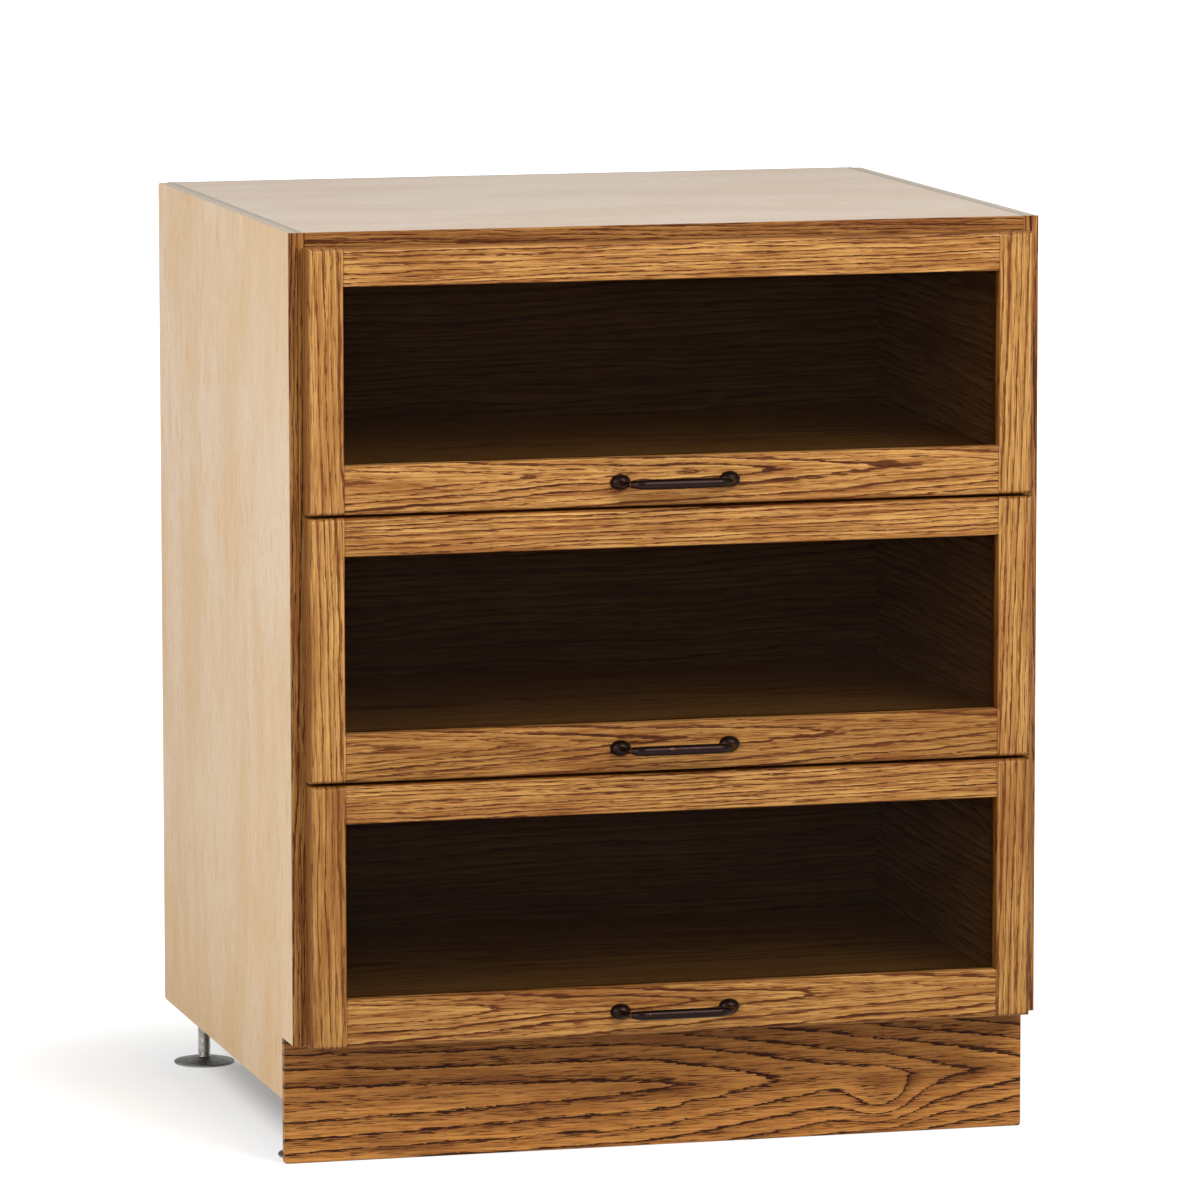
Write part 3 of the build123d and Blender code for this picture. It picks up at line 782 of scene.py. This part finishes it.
def steel(name):
    """Steel with streaks and faint stains, and a painted highlight on upright rims where the look has one.
    """
    look = steel_looks[name]
    material, graph, shader = new_material(name)
    point = graph.place()
    streak = graph.noise(point, look["streaks"], streak_detail, streak_roughness)
    stain = graph.noise(point, **stain_noise)
    colour = graph.mix(graph.smooth(streak, *streak_range), look["dark"], look["light"])
    colour = graph.mix(graph.smooth(stain, *stain_range, 0.0, stain_most), colour, look["dark"])
    # Painted highlight on the upright rims
    if "rim" in look:
        level = graph.math("ABSOLUTE", graph.facing()[2])
        colour = graph.mix(graph.smooth(level, *rim_highlight_turn, 1.0, 0.0), colour, look["rim"])
    least = look["roughness"]
    roughness = graph.smooth(stain, *stain_rough_range, least, least + stain_added_roughness)
    graph.put(shader.inputs["Base Color"], colour)
    graph.put(shader.inputs["Roughness"], roughness)
    graph.put(shader.inputs["Normal"], graph.bump(streak, metal_relief))
    shader.inputs["Metallic"].default_value = 1.0
    return material


def glass():
    """Bronze-tinted glass that dims what lies behind it."""
    material, graph, shader = new_material("tinted_glass")
    haze = graph.noise(graph.place(), glass_haze_rates, glass_haze_detail)
    graph.put(shader.inputs["Base Color"], graph.mix(haze, *glass_tints))
    shader.inputs["Roughness"].default_value = glass_roughness
    shader.inputs["IOR"].default_value = glass_ior
    shader.inputs["Specular IOR Level"].default_value = glass_gloss
    shader.inputs["Alpha"].default_value = glass_cover
    return material


# Feet


def stem_radius_at(outer, height, angle, low, high):
    """Radius of a right-hand thread at a height and an angle, with both ends turned down."""
    turn = (height / thread_pitch - angle / (2 * math.pi)) % 1.0
    flank = min(turn, 1.0 - turn) * 2
    groove = max(0.0, 1.0 - flank / (1.0 - thread_crest_share))
    end = min(height - low, high - height)
    turned_down = outer - max(0.0, stem_chamfer - end)
    return min(outer - thread_depth * groove, turned_down)


def key_radius_at(angle):
    """Radius of the six-sided key socket at an angle."""
    sixth = math.pi / 3
    return stem_key_width / 2 / math.cos(angle % sixth - sixth / 2)


def stem_outline(low, high):
    """The angles of a stem's sides, and the heights of its rings with their radii.

    The rings go from the lower end to the upper end and down again into the key socket.
    """
    outer = (high.x - low.x) / 2
    ring_step = thread_pitch / thread_rings_per_turn
    ring_count = math.ceil((high.z - low.z) / ring_step)
    angles = [2 * math.pi * side / thread_sides for side in range(thread_sides)]
    outline = []
    for index in range(ring_count + 1):
        height = low.z + (high.z - low.z) * index / ring_count
        radii = [stem_radius_at(outer, height, angle, low.z, high.z) for angle in angles]
        outline.append((height, radii))
    key_radii = [key_radius_at(angle) for angle in angles]
    outline.append((high.z, key_radii))
    outline.append((high.z - stem_key_depth, key_radii))
    return angles, outline


def threaded_stem(name):
    """A stem with its real thread and a key socket, in the place of the plain CAD bar."""
    low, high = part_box(name)
    centre = (low + high) / 2
    angles, outline = stem_outline(low, high)
    work = bmesh.new()
    rings = []
    for height, radii in outline:
        ring = []
        for angle, radius in zip(angles, radii):
            x = centre.x + radius * math.cos(angle)
            y = centre.y + radius * math.sin(angle)
            ring.append(work.verts.new((x, y, height)))
        rings.append(ring)
    for lower, upper in zip(rings, rings[1:]):
        for side in range(thread_sides):
            after = (side + 1) % thread_sides
            work.faces.new((lower[side], lower[after], upper[after], upper[side]))
    work.faces.new(list(reversed(rings[0])))
    work.faces.new(rings[-1])
    mesh = bpy.data.meshes.new(name + "_thread")
    work.to_mesh(mesh)
    work.free()
    mesh.polygons.foreach_set("use_smooth", [True] * len(mesh.polygons))
    mesh.set_sharp_from_angle(angle=math.radians(thread_sharp_angle))
    piece = bpy.data.objects.new(name + "_thread", mesh)
    bpy.context.scene.collection.objects.link(piece)
    return piece


def add_feet(stem_steel, pad_steel):
    """Threaded stems in place of the plain bars, and the finish of the pads and plates."""
    for foot in foot_names:
        stem = threaded_stem(f"{foot}_foot_stem")
        stem.data.materials.append(stem_steel)
        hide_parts(f"{foot}_foot_stem")
        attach(stem, f"{foot}_stem")
        dress(pad_steel, f"{foot}_foot_pad")
    dress(pad_steel, "foot_plates")


# Stage


def seen_directly(graph):
    """1 for rays from the camera or from a mirror or glass, 0 for light that falls on things."""
    path = graph.add("ShaderNodeLightPath", {}).outputs
    mirrored = graph.math("MAXIMUM", path["Is Glossy Ray"], path["Is Transmission Ray"])
    return graph.math("MAXIMUM", path["Is Camera Ray"], mirrored)


def add_world():
    """Soft light from all round, before a white background."""
    world = bpy.data.worlds.new("studio")
    world.use_nodes = True
    bpy.context.scene.world = world
    graph = Graph(world.node_tree)
    background = world.node_tree.nodes["Background"]
    background.inputs["Color"].default_value = world_colour
    strength = graph.choose(seen_directly(graph), world_strength, world_seen_strength)
    graph.put(background.inputs["Strength"], strength)


def floor_glow_with_painted_shadow(graph):
    """Glow of the floor, least under the cabinet and white far away from it, so that the dip round the
    cabinet is a painted shadow.
    """
    point = graph.object_point()
    beyond = graph.vector("SUBTRACT", point, core_middle)
    beyond = graph.vector("SUBTRACT", graph.vector("ABSOLUTE", beyond), core_half)
    away = graph.length(graph.vector("MAXIMUM", beyond, (0.0, 0.0, 0.0)))
    y = graph.parts(point)[1]
    edge_glow = graph.smooth(y, edge_front_y, edge_back_y, edge_front_glow, edge_back_glow)
    near = graph.smooth(away, 0.0, core_width, core_glow, edge_glow)
    return graph.total(near, graph.smooth(away, core_width, far_width, 0.0, far_glow))


def floor_material():
    """Pale floor that takes shadows, and glows only where it is seen, less round the cabinet as a painted
    shadow.
    """
    material = bpy.data.materials.new("pale_floor")
    material.use_nodes = True
    tree = material.node_tree
    tree.nodes.remove(tree.nodes["Principled BSDF"])
    graph = Graph(tree)
    plain = graph.add("ShaderNodeBsdfDiffuse", {"Color": floor_colour}).outputs[0]
    strength = graph.product(seen_directly(graph), floor_glow_with_painted_shadow(graph))
    glow = graph.add("ShaderNodeEmission", {"Strength": strength}).outputs[0]
    both = graph.add("ShaderNodeAddShader", {0: plain, 1: glow}).outputs[0]
    tree.links.new(both, tree.nodes["Material Output"].inputs["Surface"])
    return material


def add_floor():
    """A pale floor that keeps the cabinet's shadow."""
    reach = floor_half_size
    mesh = bpy.data.meshes.new("floor")
    corners = [(-reach, -reach, 0), (reach, -reach, 0), (reach, reach, 0), (-reach, reach, 0)]
    mesh.from_pydata(corners, [], [(0, 1, 2, 3)])
    floor = bpy.data.objects.new("floor", mesh)
    bpy.context.scene.collection.objects.link(floor)
    mesh.materials.append(floor_material())


def add_light(name, place, size, power):
    """A square soft light aimed at the cabinet."""
    lamp = bpy.data.lights.new(name, "AREA")
    lamp.size = size
    lamp.energy = power
    light = bpy.data.objects.new(name, lamp)
    light.location = place
    light.rotation_euler = (light_target - place).to_track_quat("-Z", "Y").to_euler()
    bpy.context.scene.collection.objects.link(light)


def add_camera():
    """The camera, turned about Z, tilted down and rolled."""
    data = bpy.data.cameras.new("camera")
    data.sensor_width = camera_sensor
    data.lens = camera_lens
    data.clip_end = camera_far
    camera = bpy.data.objects.new("camera", data)
    turn = Matrix.Rotation(math.radians(-camera_yaw), 4, "Z")
    tilt = Matrix.Rotation(math.radians(90 - camera_pitch), 4, "X")
    roll = Matrix.Rotation(math.radians(camera_roll), 4, "Z")
    camera.matrix_world = Matrix.Translation(camera_place) @ turn @ tilt @ roll
    bpy.context.scene.collection.objects.link(camera)
    bpy.context.scene.camera = camera


# Finishes of the CAD nodes

# Seeds of the boards' noise. A drawer adds its number
case_seeds = {
    "left_end": 1, "right_end": 4, "sides": 2, "top": 3, "inner": 5, "back": 6, "bands": 2, "toe_kick": 0,
}
drawer_seeds = {
    "stiles": 0, "top_rail": 10, "bottom_rail": 20,
    "box_sides": 30, "box_back": 40, "box_bottom": 50, "glass_beads": 60,
}


def dress_case():
    """Finishes of the case, its edge bands and the toe kick."""
    inner_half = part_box("top_panel")[1].x * mm_per_metre
    left = maple_board("maple_left", "Z", case_seeds["left_end"], maple_look, outer_core, painted_shade_low=True)
    right = maple_board("maple_right", "Z", case_seeds["right_end"], maple_look, outer_core, painted_shade_low=True)
    sides = maple_board("case_side_board", "Z", case_seeds["sides"], inner_look, inner_core)
    top = maple_board("top_board", "X", case_seeds["top"], top_look)
    inner = maple_board("case_board", "X", case_seeds["inner"], inner_look)
    back = maple_board("back_board", "Z", case_seeds["back"], inner_look, inner_core)
    dress(left, "left_end_panel")
    dress(right, "right_end_panel")
    dress(sides, "left_case_side", "right_case_side")
    dress(top, "top_panel")
    dress(inner, "bottom_panel", "upper_wall_rail", "lower_wall_rail", "toe_kick_blocks")
    dress(back, "back_panel")
    # The edge bands get painted shade
    oak_strips("front_edge_bands", case_seeds["bands"], band_look, inner_half,
               upright_shade=band_upright_painted_shade, across_shade=band_across_painted_shade)
    # The toe kick gets painted shade along its upper edge
    oak_board("toe_kick_board", "X", case_seeds["toe_kick"], toe_kick_look, painted_top_shade=True)


def dress_drawers():
    """Finishes of the fronts, boxes, panes and handles of the drawers."""
    opening_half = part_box("drawer_1_top_rail")[1].x * mm_per_metre
    pane = glass()
    dark_bronze = bronze()
    for number in drawer_numbers:
        drawer = f"drawer_{number}"
        seeds = {part: number + first for part, first in drawer_seeds.items()}
        side_look = toned(stile_look, stile_tones[number])
        upper_look = toned(top_rail_look, top_rail_tones[number])
        lower_look = toned(bottom_rail_look, bottom_rail_tones[number])
        oak_board(f"{drawer}_stiles", "Z", seeds["stiles"], side_look, paired=True,
                  stained_shaded_edges=stile_stained_shaded_edges)
        oak_board(f"{drawer}_top_rail", "X", seeds["top_rail"], upper_look, joint_edge=opening_half,
                  stained_shaded_edges=top_rail_stained_shaded_edges)
        oak_board(f"{drawer}_bottom_rail", "X", seeds["bottom_rail"], lower_look, joint_edge=opening_half)
        oak_board(f"{drawer}_box_sides", "Y", seeds["box_sides"], box_look, paired=True)
        oak_board(f"{drawer}_box_back", "X", seeds["box_back"], box_look)
        oak_board(f"{drawer}_box_bottom", "X", seeds["box_bottom"], box_bottom_painted_light_look)
        oak_strips(f"{drawer}_glass_beads", seeds["glass_beads"], band_look, opening_half)
        dress(pane, f"{drawer}_glass_pane")
        dress(dark_bronze, f"{drawer}_handle")


def dress_hardware():
    """Finishes of the slides, screws and feet."""
    steels = {name: steel(name) for name in steel_looks}
    dress(steels["slide_steel"], "case_slide_rails")
    dress(steels["screw_steel"], "rail_screws", "foot_plate_screws")
    for number in drawer_numbers:
        drawer = f"drawer_{number}"
        dress(steels["slide_steel"], f"{drawer}_drawer_slides", f"{drawer}_middle_slides")
        dress(steels["screw_steel"], f"{drawer}_screws")
    add_feet(steels["stem_steel"], steels["pad_steel"])


bpy.context.scene.view_settings.view_transform = "Standard"
add_world()
add_floor()
add_light("key", key_place, key_size, key_power)
add_light("fill", fill_place, fill_size, fill_power)
add_camera()
dress_case()
dress_drawers()
dress_hardware()
